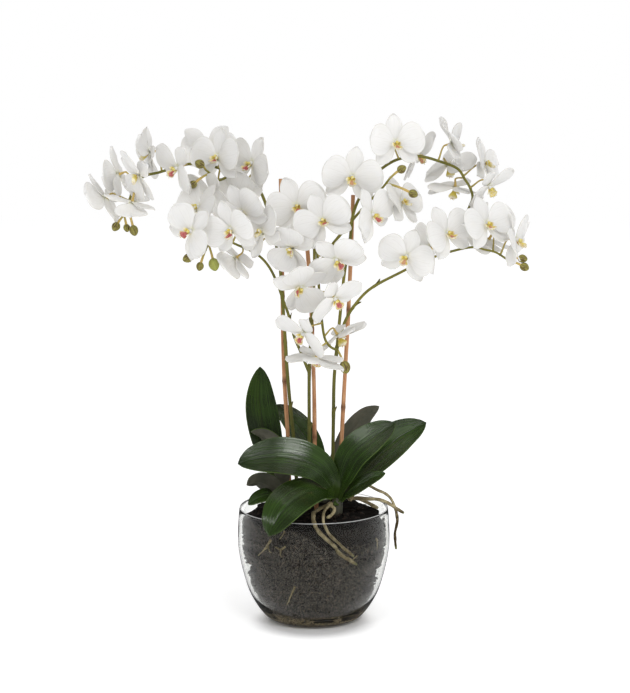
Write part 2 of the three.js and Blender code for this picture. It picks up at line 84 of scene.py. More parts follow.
def turned(profile, steps, around):
    """A closed body turned round the Z axis from a profile of radius and height."""
    shape = bmesh.new()
    corners = [shape.verts.new(point) for point in smooth_path(profile, steps)]
    for near, far in zip(corners, corners[1:]):
        shape.edges.new((near, far))
    bmesh.ops.spin(
        shape, geom=shape.verts[:] + shape.edges[:], cent=(0, 0, 0), axis=(0, 0, 1),
        dvec=(0, 0, 0), angle=2 * math.pi, steps=around, use_merge=True,
    )
    bmesh.ops.remove_doubles(shape, verts=shape.verts, dist=1e-4)
    bmesh.ops.recalc_face_normals(shape, faces=shape.faces)
    return shape


def profile_points(pairs):
    """The points of a profile, from its radii and heights."""
    return [Vector((radius, 0, height)) for radius, height in pairs]


def show(name, data):
    """Puts an object into the scene with its mesh, curve, lamp or lens."""
    made = bpy.data.objects.new(name, data)
    bpy.context.scene.collection.objects.link(made)
    return made


def add_object(name, shape, finishes):
    """Makes an object of a shape in millimetres, with its finishes."""
    bmesh.ops.scale(shape, vec=(MM, MM, MM), verts=shape.verts)
    mesh = bpy.data.meshes.new(name)
    shape.to_mesh(mesh)
    shape.free()
    for finish in finishes:
        mesh.materials.append(finish.material)
    return show(name, mesh)


def add_piece(name, shape, finishes, node, crease=60):
    """Makes a piece that stands for a CAD node, smooth up to its crease angle in degrees."""
    piece = add_object(name, shape, finishes)
    piece.data.shade_smooth()
    piece.data.set_sharp_from_angle(angle=math.radians(crease))
    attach(piece, "root")
    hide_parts(node)


def colour(code):
    """A colour for a shader, from its usual six-digit code."""
    shares = [int(code[i:i + 2], 16) / 255 for i in (0, 2, 4)]
    return tuple(s / 12.92 if s <= 0.04045 else ((s + 0.055) / 1.055) ** 2.4 for s in shares)


class Link:
    """A node's output in an expression. Arithmetic on it adds Math nodes."""

    def __init__(self, finish, socket):
        self.finish = finish
        self.socket = socket

    def math(self, operation, *values):
        return self.finish.node("Math", {"operation": operation}, dict(enumerate(values)))

    def __add__(self, other):
        return self.math("ADD", self, other)

    def __sub__(self, other):
        return self.math("SUBTRACT", self, other)

    def __rsub__(self, other):
        return self.math("SUBTRACT", other, self)

    def __mul__(self, other):
        return self.math("MULTIPLY", self, other)

    def __abs__(self):
        return self.math("ABSOLUTE", self)

    __radd__ = __add__
    __rmul__ = __mul__


class Finish:
    """A surface finish: one material, its uniform values, and the nodes that vary it."""

    def __init__(self, name, roughness, shine, others=None):
        self.material = bpy.data.materials.new(name)
        self.material.use_nodes = True
        self.tree = self.material.node_tree
        self.shader = self.tree.nodes["Principled BSDF"]
        self.feed("Roughness", roughness)
        self.feed("Specular IOR Level", shine)
        for socket, value in (others or {}).items():
            self.feed(socket, value)

    def feed(self, socket, value):
        """Sets a socket of the surface shader."""
        self.plug(self.shader.inputs[socket], value)

    def plug(self, socket, value):
        """Links a value into a socket, or sets it there."""
        if isinstance(value, Link):
            self.tree.links.new(value.socket, socket)
        elif socket.type == "RGBA" and len(value) == 3:
            socket.default_value = (*value, 1.0)
        else:
            socket.default_value = value

    def node(self, kind, settings=None, values=None, output=0):
        """Adds a node and gives one of its outputs."""
        made = self.tree.nodes.new("ShaderNode" + kind)
        for name, value in (settings or {}).items():
            setattr(made, name, value)
        for name, value in (values or {}).items():
            self.plug(made.inputs[name], value)
        return Link(self, made.outputs[output])

    def axis(self, vector, name):
        """One coordinate of a vector."""
        return self.node("SeparateXYZ", values={"Vector": vector}, output=name)

    def stretch(self, vector, scale):
        """A vector stretched along each axis."""
        return self.node("Mapping", values={"Vector": vector, "Scale": scale})

    def on_piece(self):
        """Object coordinates, in metres."""
        return self.node("TexCoord", output="Object")

    def painted(self, name):
        """A value that the piece's points carry."""
        return self.node("Attribute", {"attribute_name": name}, output="Fac")

    def on_blade(self):
        """A blade's own map, how far out a point of it lies, and how far off its middle line."""
        spot = self.node("UVMap")
        return spot, self.axis(spot, "X"), abs(self.axis(spot, "Y") * 2 - 1)

    def grain(self, scale, detail=3.0, roughness=0.55, over=None, stretch=(1, 1, 1)):
        """A noise from 0 to 1 over a vector, or else over the piece itself."""
        vector = self.stretch(self.on_piece() if over is None else over, stretch)
        values = {"Vector": vector, "Scale": scale, "Detail": detail, "Roughness": roughness}
        return self.node("TexNoise", values=values)

    def rise(self, value, low, high):
        """0 below low, 1 above high, smooth between."""
        values = {"Value": value, "From Min": low, "From Max": high}
        return self.node("MapRange", {"interpolation_type": "SMOOTHSTEP"}, values)

    def mix(self, factor, first, second):
        """A colour between two colours."""
        values = {0: factor, 6: first, 7: second}
        return self.node("Mix", {"data_type": "RGBA"}, values, 2)

    def tint(self, tone, code, value, low, high, share=1.0):
        """A tone turned by a share towards a colour, where a value rises from low to high."""
        amount = self.rise(value, low, high)
        return self.mix(amount if share == 1.0 else amount * share, tone, colour(code))

    def layers(self, tone, *tints):
        """A tone with tints laid over it, one after another."""
        for tint in tints:
            tone = self.tint(tone, *tint)
        return tone

    def bump(self, height, distance, strength=1.0):
        """Raises the surface by a height from 0 to 1."""
        values = {"Height": height, "Distance": distance, "Strength": strength}
        self.feed("Normal", self.node("Bump", values=values))


clear_glass = Finish("clear_glass", 0.0, 0.5, {
    "Base Color": (0.94, 0.945, 0.93), "IOR": 1.48, "Transmission Weight": 1.0,
    "Specular Tint": (0.2, 0.2, 0.2),
})
vase = turned(profile_points(VASE_OUTSIDE)[:-1] + profile_points(VASE_INSIDE), 5, 128)
ground_rim = Finish("ground_rim", 0.4, 0.5, {
    "Base Color": (0.95, 0.96, 0.96), "IOR": 1.48, "Transmission Weight": 0.45,
})
for vert in vase.verts:
    vert.co.z = max(vert.co.z, 0)
for face in vase.faces:
    if face.calc_center_median().z > GROUND_RIM_FROM:
        face.material_index = 1
add_piece("clear_bowl", vase, [clear_glass, ground_rim], "vase")

# Potting mix.
# Dark, moist bark and soil, heaped loosely. It is ragged where it stands clear of the glass, with
# chips of bark at the top and pressed against the wall. Sand has settled wet against the foot.
SOIL_FOOT = [(0, 8.6), (36, 8.6), (61, 9.0)]
SOIL_SIDE = [
    (74.8, 12.7), (87.9, 25.3), (97.6, 49), (108.6, 85), (114, 116), (115.2, 138), (114, 156),
    (109, 166.5), (98, 170.8), (76, 171.5), (38, 171.5), (0, 171.5),
]
SOIL_BELLY = 114
SOIL_SIDE_ROUGHNESS = 4.2
SOIL_TOP_ROUGHNESS = 4.5
POCKET_WIDTH = 75
POCKET_HEIGHT = 13
POCKET_DEPTH = 52
DEEPEST_POCKET = 14
CHIP = 1
TOP_CHIPS = 300
SIDE_CHIPS = 420
SOIL_TOP = 171
luck = random.Random(11)


def soil_radius(height):
    """The mix's radius at a height, from its profile."""
    for (near, low), (far, high) in zip(SOIL_SIDE, SOIL_SIDE[1:]):
        if low <= height <= high:
            return near + (far - near) * (height - low) / (high - low)
    return SOIL_BELLY


def crumble(point, size, seed):
    """A crumbly relief, from about -1 to 1."""
    return noise.fractal(point / size + Vector((seed, 0, 0)), 0.8, 2.2, 4)


def give_finish(verts, finish):
    """Gives the faces round some points one of their piece's finishes, by its number."""
    for face in {face for vert in verts for face in vert.link_faces}:
        face.material_index = finish


soil = turned(profile_points(SOIL_FOOT + SOIL_SIDE), 7, 260)
for vert in soil.verts:
    flat = vert.co.xy.to_3d()
    topness = min(1.0, max(0.0, (vert.co.z - 150) / 18))
    relief = crumble(vert.co, 24, 3)
    if vert.co.z > 12:
        side = SOIL_SIDE_ROUGHNESS * min(0.2, relief - 0.25) * min(1.0, flat.length / 60)
        grit = 0.9 * noise.noise(vert.co / 5.5) + 0.5 * noise.noise(vert.co / 3)
        level = vert.co.z + min(0, vert.co.x) * 0.08
        spot = Vector((abs(vert.co.x) / POCKET_WIDTH, vert.co.y / POCKET_WIDTH,
                       level / POCKET_HEIGHT + 3))
        pocket = max(0, noise.noise(spot) - 0.02) * min(1, max(0, vert.co.z - 30) / 15)
        sideways = abs(flat.normalized().x)
        gap = min(DEEPEST_POCKET, POCKET_DEPTH * pocket * (0.12 + 0.88 * sideways ** 6))
        vert.co += flat.normalized() * (side + grit - 0.8 - gap)
    vert.co.z += SOIL_TOP_ROUGHNESS * relief * topness


def chip(shape, centre, size, flatness):
    """A broken piece of bark."""
    made = bmesh.ops.create_icosphere(shape, subdivisions=1, radius=1)
    turn = Matrix.Rotation(luck.uniform(0, 6.28), 4, "Z") @ Matrix.Rotation(
        luck.uniform(-0.6, 0.6), 4, "X")
    stretch = Matrix.Diagonal((size, size * luck.uniform(0.4, 0.8), size * flatness, 1))
    seed = luck.uniform(0, 90)
    for vert in made["verts"]:
        vert.co *= 1 + 0.35 * noise.noise(vert.co * 1.3 + Vector((seed, seed, 0)))
        vert.co = centre + turn @ stretch @ vert.co
    give_finish(made["verts"], CHIP)


for _ in range(TOP_CHIPS):
    angle, out = luck.uniform(0, 2 * math.pi), 98 * math.sqrt(luck.uniform(0, 1))
    height = SOIL_TOP - 14 * max(0, out - 84) / 14 + luck.uniform(-2, 2)
    centre = Vector((out * math.cos(angle), out * math.sin(angle), height))
    chip(soil, centre, luck.uniform(2.5, 7.5), luck.uniform(0.3, 0.6))
for _ in range(SIDE_CHIPS):
    angle, height = luck.uniform(0, 2 * math.pi), 150 * math.sqrt(luck.uniform(0.02, 1)) + 8
    size = luck.uniform(1.2, 3.6)
    out = soil_radius(height) - 0.7 * size
    centre = Vector((out * math.cos(angle), out * math.sin(angle), height))
    chip(soil, centre, size, luck.uniform(0.5, 0.9))

moist_mix = Finish("moist_mix", 0.9, 0.2)
height = moist_mix.axis(moist_mix.on_piece(), "Z")
leftness = moist_mix.rise(moist_mix.axis(moist_mix.on_piece(), "X"), 0.03, -0.04) * 0.3
clods = moist_mix.grain(70, 5, 0.7)
lumps = moist_mix.grain(240, 3, 0.65)
crumbs = moist_mix.grain(430, 3, 0.7)
specks = moist_mix.grain(1500, 2, 0.6)
strands = moist_mix.grain(520, 4, 0.75, stretch=(1, 1, 0.3))
# A darker band near the top of the mix's side: painted shade under the leaves.
top_band_shade = height + clods * 0.03 - leftness * 0.1
tone = moist_mix.layers(
    colour("252423"), ("3b3937", clods, 0.35, 0.65), ("6e6862", lumps, 0.52, 0.58, 0.3),
    ("161413", lumps, 0.46, 0.4, 0.55), ("877e74", crumbs, 0.52, 0.56, 0.35),
    ("100f0e", crumbs, 0.47, 0.44, 0.55), ("b5aa9a", specks, 0.61, 0.67, 0.65),
    ("988770", strands, 0.6, 0.65, 0.6), ("15110e", top_band_shade, 0.148, 0.154, 0.75),
    ("0d0a08", height, 0.16, 0.169, 0.95),
)
sand = moist_mix.tint(colour("40372b"), "c3b391", crumbs, 0.42, 0.58)
low_edge = moist_mix.rise(height + lumps * 0.012, 0.03, 0.02)
moist_mix.feed("Base Color", moist_mix.mix(low_edge, tone, sand))
moist_mix.bump(clods * 0.5 + strands * 0.5, 0.0008, 0.3)
bark = Finish("bark_chip", 0.75, 0.35)
fibre = bark.grain(300, 4, 0.6, stretch=(1, 1, 3))
tone = bark.tint(colour("0e0b09"), "2e231b", bark.grain(95), 0.38, 0.7)
bark.feed("Base Color", bark.tint(tone, "5a4a39", fibre, 0.52, 0.75, 0.8))
bark.bump(fibre, 0.0009)
add_piece("potting_soil", soil, [moist_mix, bark], "potting_mix")

# Stakes.
# Split bamboo canes, stained terracotta, with a darker raised ring at each joint of the cane. Each
# is pushed deep into the mix.
EYE = Vector((0, -3000, 880))
STAKE_RADIUS = 3.2
STAKES = {
    "stake_left": [
        (-36, 40, -34), (-38, 190, -34), (-41, 293, -32), (-47, 403, -30), (-49, 560, -28),
        (-51, 697, -26),
    ],
    "stake_middle": [
        (5, 40, -8), (4, 190, -8), (2, 259, -8), (0, 388, -8), (-7, 551, -8), (-15, 641, -8),
    ],
    "stake_right": [
        (38, 40, -22), (40, 190, -22), (43, 267, -24), (49, 390, -26), (55, 508, -28),
        (61, 672, -30),
    ],
}
STAKE_RINGS = {
    "stake_left": (0.3, 0.52, 0.72), "stake_middle": (0.42, 0.7), "stake_right": (0.47, 0.72),
}
TIE_RADIUS = 0.85
TIE_STEPS = 20
TIES = {"stake_left": ((-51, 584, -28), (-57, 582, -17)), "stake_right": ((58, 597, -29),) * 2}


def place(at):
    """A point seen across and up in the plane of the vase's axis, moved towards the viewer."""
    across, up, toward = at
    return Vector((across, 0, up)).lerp(EYE, toward / -EYE.y)


def tubes(lines, roundness=2):
    """Round closed tubes, one for each line of points, radii and finish number."""
    outline = bpy.data.curves.new("outline", "CURVE")
    outline.dimensions = "3D"
    outline.bevel_depth = 1.0
    outline.bevel_resolution = roundness
    outline.use_fill_caps = True
    for _ in range(1 + max(finish for _, _, finish in lines)):
        outline.materials.append(None)
    for points, radii, finish in lines:
        spline = outline.splines.new("POLY")
        spline.points.add(len(points) - 1)
        spline.material_index = finish
        for knot, point, radius in zip(spline.points, points, radii):
            knot.co = (*point, 1.0)
            knot.radius = radius
    holder = show("outline", outline)
    bpy.context.view_layer.update()
    mesh = bpy.data.meshes.new_from_object(holder)
    shape = bmesh.new()
    shape.from_mesh(mesh)
    bpy.data.objects.remove(holder)
    bpy.data.curves.remove(outline)
    bpy.data.meshes.remove(mesh)
    bmesh.ops.remove_doubles(shape, verts=shape.verts, dist=1e-4)
    return shape


def length_of(line):
    """How long a line of points is."""
    return sum((far - near).length for near, far in zip(line, line[1:]))


def shares(line):
    """How far along its line each point lies, from 0 to 1."""
    run = [0.0]
    for near, far in zip(line, line[1:]):
        run.append(run[-1] + (far - near).length)
    return [length / run[-1] for length in run]


def tie_line(first, second, clear=4.3, turns=2.3):
    """Raffia wound round a cane, or a cane and a stem, that ends in a loose curl."""
    middle, reach = (first + second) / 2, (second - first) / 2
    long_way = reach.xy.to_3d() if reach.length > 1 else Vector((0.01, 0, 0))
    ahead = long_way.normalized()
    side = Vector((-ahead.y, ahead.x, 0))
    line = []
    for step in range(int(turns * TIE_STEPS) + 1):
        angle = step / TIE_STEPS * 2 * math.pi + 0.6
        spot = ahead * math.cos(angle) * (long_way.length + clear) + side * math.sin(angle) * clear
        line.append(middle + spot + Vector((0, 0, step * 0.06 - 1.2)))
    out = (line[-1] - middle).normalized()
    for step in range(1, 13):
        curl = Vector((0, 0, 1.6 * math.sin(step / 2.2)))
        line.append(line[-1] + out * 0.8 - Vector((0, 0.35, 0)) + curl * 0.35)
    return line


cane = Finish("stained_cane", 0.55, 0.4)
streaks = cane.grain(900, 3, 0.6, stretch=(1, 1, 0.03))
blotches = cane.grain(70, 3, 0.6, stretch=(1, 1, 0.4))
ringed = cane.painted("ring")
tone = cane.layers(
    colour("b67d55"), ("d8a97c", streaks, 0.35, 0.7), ("9c6040", blotches, 0.45, 0.75, 0.6),
)
cane.feed("Base Color", cane.mix(ringed * 0.8, tone, colour("5c3722")))
cane.bump(streaks, 0.0004)
raffia = Finish("raffia", 0.8, 0.25)
strands = raffia.grain(900, 3, 0.6)
raffia.feed("Base Color", raffia.mix(strands, colour("6f4a36"), colour("a87c5e")))
for name, route in STAKES.items():
    line = smooth_path([place(at) for at in route], 24)
    run = shares(line)
    length = length_of(line)
    radii = []
    for share in run:
        near_ring = min(abs(share - ring) for ring in STAKE_RINGS[name]) * length
        swell = 0.75 * math.exp(-(near_ring / 2.6) ** 2)
        radii.append(STAKE_RADIUS + swell + 0.15 * math.sin(share * 31))
    lines = [(line, radii, 0)]
    if name in TIES:
        wound = tie_line(*[place(at) for at in TIES[name]])
        lines.append((wound, [TIE_RADIUS] * len(wound), 1))
    shape = tubes(lines, 4)
    ring_layer = shape.verts.layers.float.new("ring")
    rings = [line[min(range(len(run)), key=lambda i: abs(run[i] - ring))]
             for ring in STAKE_RINGS[name]]
    for vert in shape.verts:
        off = min((vert.co - ring).length for ring in rings)
        vert[ring_layer] = math.exp(-(max(0.0, off - STAKE_RADIUS) / 3.5) ** 2)
    add_piece(name.replace("stake", "cane"), shape, [cane, raffia], name)

# Blooms.
# Wax-white flowers of three pointed sepals behind two broad round petals. In front of them stand
# the short column and a three-lobed lip, red and yellow, that ends in two curled tendrils.
# A bloom's place, turn, tilt and roll, and its width where that isn't the usual one.
BLOOM_WIDTH = 88
BLOOMS = {
    "a": [
        ((-302, 704, -43), -105, -15, 5),
        ((-322, 667, -30), -105, -35, 145),
        ((-272, 704, 48), -60, -25, -60),
        ((-253, 738, -57), -84, -8, -34),
        ((-210, 714, 36), -55, -18, 40),
        ((-281, 661, 25), -130, -74, 56),
        ((-163, 746, -60), 175, 0, 185),
        ((-148, 731, 6), -32, 8, 2),
        ((-95, 721, -20), -45, 0, 25),
        ((-120, 671, -15), -17, -17, -53),
        ((-159, 677, 8), -45, -35, 40),
    ],
    "b": [
        ((-190, 616, 84), -38, 0, 50),
        ((-179, 652, 40), -45, 30, 20),
        ((-128, 619, 100), -30, -12, -14),
        ((-110, 646, 76), -35, -10, -30),
        ((-80, 616, 80), -50, 10, -25),
        ((-121, 574, 34), -108, -40, 20),
    ],
    "c": [
        ((-27, 655, 40), 5, 5, -20, 92),
        ((14, 632, 78), -2, 15, -26),
        ((-37, 591, 83), -28, -30, -60),
        ((36, 572, 108), 5, -30, -45),
        ((-21, 529, 112), 16, -31, 60),
        ((32, 511, 122), 44, -38, -46),
        ((-15, 456, 119), -55, -40, 45),
        ((38, 453, 53), 102, -54, 70),
        ((4, 417, 99), -125, -78, 107),
    ],
    "d": [
        ((59, 700, 14), 3, -6, 7, 92),
        ((126, 754, 0), 18, 6, -2),
        ((158, 735, -82), 68, -20, -36),
        ((213, 752, -26), 82, 22, 10),
        ((207, 718, -76), 129, -52, 27),
        ((263, 721, -58), 68, 16, 19),
        ((270, 686, -6), 62, -42, -50),
        ((219, 684, -64), 180, -75, -30),
        ((238, 636, -18), 88, -40, 28),
    ],
    "e": [
        ((145, 577, 40), -18, -10, 20),
        ((207, 612, 46), 32, 18, -20),
        ((268, 627, 42), 30, 15, -10),
        ((271, 602, -26), -112, -55, 0),
        ((314, 602, 24), 66, 0, -20),
        ((181, 590, -12), -118, 5, -28),
    ],
    "g": [
        ((90, 641, 54), 53, 0, -28),
        ((135, 661, 5), 60, 25, 5),
    ],
}
BLUSH = {"a": 0.75, "b": 0.95, "c": 0.7, "d": 0.22, "e": 0.22, "g": 0.5}
SEPAL_ANGLES = (90, 222, 318)
SEPAL_OUTLINE = [
    (1, 4.6), (6, 5.6), (13, 9.4), (21, 12.6), (28, 13.3), (35, 10.8), (40.5, 6.2), (43.6, 2.2),
    (44.4, 0),
]
PETAL_ANGLES = (10, 170)
PETAL_OUTLINE = [
    (0.5, 4.2), (4, 6), (9, 12.5), (16, 20.4), (24, 24.6), (32, 24.6), (38.5, 20.2), (43, 12),
    (44.8, 5), (45.2, 0),
]
PETAL_THICKNESS = 1.0
# Blooms seen edge-on have their petals and sepals turned further.
PETAL_TURN = {"a4": -0.7, "d4": 0.6, "d8": -0.4, "e5": 0.5}
LIP_ROOT = Vector((0, -1.2, 3.2))
LIP_OUTLINE = [
    (0, 1.7), (3, 2.3), (6.5, 4.2), (9.5, 6.3), (11.8, 7.4), (13.2, 6.2), (14.2, 3), (15, 1),
    (15.4, 0),
]
SIDE_LOBE_OUTLINE = [(0, 1.4), (1.5, 2), (4, 3), (6.4, 2.9), (8, 1.5), (8.6, 0)]
TENDRIL_OUTLINE = [(0, 0.45), (3, 0.35), (6, 0.3), (9, 0.25), (9.3, 0)]
PETAL, LIP, LIP_SIDE, CAP = range(4)


def blade(shape, outline, form, frame_of, finish=0, under=None, across=5, steps=3,
          thick=PETAL_THICKNESS):
    """A thin curved blade. form bends each point of the flat outline, frame_of places it."""
    rows = smooth_path([Vector((out, half, 0)) for out, half in outline], steps)
    grid = bmesh.ops.create_grid(
        shape, x_segments=len(rows) - 1, y_segments=2 * across, size=1.0, calc_uvs=True,
    )
    for vert in grid["verts"]:
        row = rows[round((vert.co.x + 1) / 2 * (len(rows) - 1))]
        vert.co = frame_of @ form(row.x, vert.co.y, max(row.y, 0))
    edge = [vert for vert in grid["verts"] if len(vert.link_faces) < 4]
    bmesh.ops.remove_doubles(shape, verts=edge, dist=1e-3)
    upper = {face for vert in grid["verts"] if vert.is_valid for face in vert.link_faces}
    made = bmesh.ops.solidify(shape, geom=list(upper), thickness=thick)
    for face in made["geom"]:
        if isinstance(face, bmesh.types.BMFace):
            face.material_index = finish if under is None else under
    for face in upper:
        face.material_index = finish


def axes(root, along, across):
    """A frame at a root with its X along and its Y across."""
    forward = Vector(along).normalized()
    up = forward.cross(Vector(across)).normalized()
    side = up.cross(forward)
    return Matrix.Translation(root) @ Matrix((forward, side, up)).transposed().to_4x4()


def petal_form(lift, puff, ruffle, twist, phase):
    """How a petal lies: rising to its tip, full in the middle, waved and turned at the edge."""
    def form(out, side, half):
        reach = out / 45
        wave = ruffle * side * side * math.sin(6.5 * reach + 2.2 * side + phase)
        dome = puff * math.sin(math.pi * min(1, reach)) * (1 - side * side)
        rise = lift + 2.4 * side * side + wave + twist * side * half
        height = 1 + rise * reach + dome
        return Vector((out, side * half, height))
    return form


def sepal_form(bend, cup, twist, phase):
    """How a sepal lies: bent back and turned to its tip, with its edges forward."""
    def form(out, side, half):
        reach = out / 44
        wave = 0.5 * side * math.sin(5 * reach + phase) + twist * side * half
        height = -0.9 - bend * reach * reach + (cup * side * side + wave) * reach
        return Vector((out, side * half, height))
    return form


def lip_form(out, side, half):
    """The lip's middle lobe: a shallow channel whose tip turns up."""
    curl = 0.05 * max(0, out - 9) ** 2 + 1.6 * max(0, abs(side) - 0.55) ** 2 * max(0, out - 5)
    return Vector((out, side * half, 1.2 * side * side * half / 7 + curl - 0.4 * out / 15))


def wing_form(out, side, half):
    """A side lobe of the lip: it curls in over the column."""
    return Vector((out, side * half, 0.03 * out * out + 0.8 * side * side))


def tendril_form(sign):
    """A tendril: it sweeps outward and curls back."""
    def form(out, side, half):
        angle = out / 9 * 3.6
        return Vector((2.2 * math.sin(angle) + 0.25 * out, side * half + sign * 0.36 * out,
                       2.2 * (1 - math.cos(angle)) * 0.8))
    return form


def rounded_knob(shape, centre, size, finish):
    """A small round knob."""
    made = bmesh.ops.create_uvsphere(shape, u_segments=14, v_segments=9, radius=1, calc_uvs=True)
    for vert in made["verts"]:
        vert.co = Vector(centre) + Vector([a * b for a, b in zip(vert.co, size)])
    give_finish(made["verts"], finish)


def bloom_shape(seed, blush):
    """One open flower in its own frame, facing +Z with its back sepal up."""
    chance = random.Random(seed)
    shape = bmesh.new()
    shape.loops.layers.uv.new("UVMap")
    blush_layer = shape.verts.layers.float.new("blush")
    for angle in SEPAL_ANGLES:
        form = sepal_form(
            chance.uniform(0.6, 4.5), chance.uniform(1.2, 3.2),
            chance.uniform(-0.22, 0.22) + PETAL_TURN.get(seed, 0), chance.uniform(0, 6),
        )
        turn = math.radians(angle + chance.uniform(-3, 3))
        blade(shape, SEPAL_OUTLINE, form, Matrix.Rotation(turn, 4, "Z"))
    for angle in PETAL_ANGLES:
        form = petal_form(
            chance.uniform(5, 10), chance.uniform(1.5, 4.0), chance.uniform(0.8, 2.2),
            chance.uniform(-0.18, 0.18) + PETAL_TURN.get(seed, 0), chance.uniform(0, 6),
        )
        turn = math.radians(angle + chance.uniform(-3, 3))
        blade(shape, PETAL_OUTLINE, form, Matrix.Rotation(turn, 4, "Z"))
    lip = axes(LIP_ROOT, (0, -0.74, 0.67), (1, 0, 0))
    blade(shape, LIP_OUTLINE, lip_form, lip, LIP, LIP_SIDE, across=4, steps=2, thick=0.6)
    tip = lip @ lip_form(15, 0, 0)
    for sign in (-1, 1):
        wing = axes((sign * 2, -2.2, 3.4), (sign * 0.55, -0.1, 0.83), (sign * 0.2, 0.95, 0))
        blade(shape, SIDE_LOBE_OUTLINE, wing_form, wing, LIP_SIDE, across=3, steps=2, thick=0.6)
        frame_of = axes(tip, (sign * 0.35, -0.4, 0.6), (1, 0, 0))
        blade(shape, TENDRIL_OUTLINE, tendril_form(sign), frame_of, LIP_SIDE, across=1, thick=0.5)
    rounded_knob(shape, (0, 0.8, 3), (2.8, 3, 5), PETAL)
    rounded_knob(shape, (0, 0.3, 7.6), (2.6, 2.8, 2.7), CAP)
    rounded_knob(shape, (0, -2.9, 5), (1.5, 1.3, 1.7), CAP)
    for vert in shape.verts:
        vert[blush_layer] = blush
    return shape


def bloom_matrix(at, turn, tilt, roll, width=BLOOM_WIDTH):
    """Faces the viewer, then rolls, tilts up and turns right, at its place."""
    facing = Matrix.Rotation(math.pi / 2, 4, "X")
    rolled = Matrix.Rotation(math.radians(roll), 4, "Y")
    tilted = Matrix.Rotation(math.radians(-tilt), 4, "X")
    swung = Matrix.Rotation(math.radians(turn), 4, "Z")
    size = Matrix.Scale(width / BLOOM_WIDTH, 4)
    return Matrix.Translation(place(at)) @ swung @ tilted @ rolled @ facing @ size


def pull_in(shape):
    """Moves a bloom back by the little that its curved petals reach past the solids."""
    for axis in range(3):
        reach = [vert.co[axis] for vert in shape.verts]
        move = Vector()
        move[axis] = (max(0, cad_low[axis] / MM - min(reach))
                      - max(0, max(reach) - cad_high[axis] / MM))
        bmesh.ops.translate(shape, vec=move, verts=shape.verts)


white_petal = Finish("white_petal", 0.55, 0.3, {
    "Subsurface Weight": 0.9, "Subsurface Radius": (1, 0.97, 0.92), "Subsurface Scale": 0.0035,
})
spot, out, across = white_petal.on_blade()
veins = white_petal.grain(1.0, 3, 0.6, over=spot, stretch=(2.2, 26, 1))
clouds = white_petal.grain(45, 2, 0.5)
# Close to the edge of each petal and sepal the white is darkened: painted shade along the thin
# margin.
white_petal.feed("Base Color", white_petal.layers(
    colour("e4e3e1"), ("d3d1cc", veins, 0.5, 0.68, 0.55), ("dfddd7", clouds, 0.45, 0.7, 0.3),
    ("cfccc3", across, 0.94, 1.0, 0.7), ("e3e2bb", out, 0.2, 0.02, 0.7),
))
white_petal.bump(veins, 0.0004, 0.6)
red_lip = Finish("red_lip", 0.4, 0.45)
spot, out, across = red_lip.on_blade()
blush = red_lip.painted("blush")
lines = red_lip.grain(1, 2, over=spot, stretch=(4, 18, 1))
patch = 1 - red_lip.rise(across + out * 0.3 - blush * 0.5, 0.3, 0.6)
red = red_lip.tint(colour("b03a49"), "dc9a90", lines, 0.35, 0.7)
cream = red_lip.tint(colour("e3cf62"), "f1ebcf", lines, 0.4, 0.6)
tone = red_lip.mix(patch * red_lip.rise(blush + lines * 0.6, 0.3, 0.8), cream, red)
red_lip.feed("Base Color", red_lip.layers(
    tone, ("e6d36a", out, 0.22, 0.08), ("f3efe2", across, 0.93, 1.0), ("e7d46c", out, 0.86, 0.95),
))
red_lip.bump(lines, 0.0004, 0.5)
yellow_lip = Finish("yellow_lip", 0.4, 0.45)
spots = yellow_lip.grain(700, 2, 0.5)
base = yellow_lip.axis(yellow_lip.node("UVMap"), "X")
yellow_lip.feed("Base Color", yellow_lip.layers(
    colour("dcc956"), ("f1ecd4", base, 0.35, 0.8), ("c0504e", base, 0.22, 0.05, 0.8),
    ("c4655a", spots, 0.62, 0.7, 0.6),
))
yellow_cap = Finish("yellow_cap", 0.42, 0.4)
shades = yellow_cap.grain(420, 2, 0.5)
yellow_cap.feed("Base Color", yellow_cap.tint(colour("d9c44e"), "efe7a8", shades, 0.35, 0.7))
for spray, blooms in BLOOMS.items():
    for number, bloom in enumerate(blooms, 1):
        shape = bloom_shape(f"{spray}{number}", BLUSH[spray] + 0.15 * math.sin(7 * number))
        bmesh.ops.transform(shape, matrix=bloom_matrix(*bloom), verts=shape.verts)
        pull_in(shape)
        add_piece(
            f"flower_{spray}{number}", shape, [white_petal, red_lip, yellow_lip, yellow_cap],
            f"bloom_{spray}{number}", crease=50,
        )

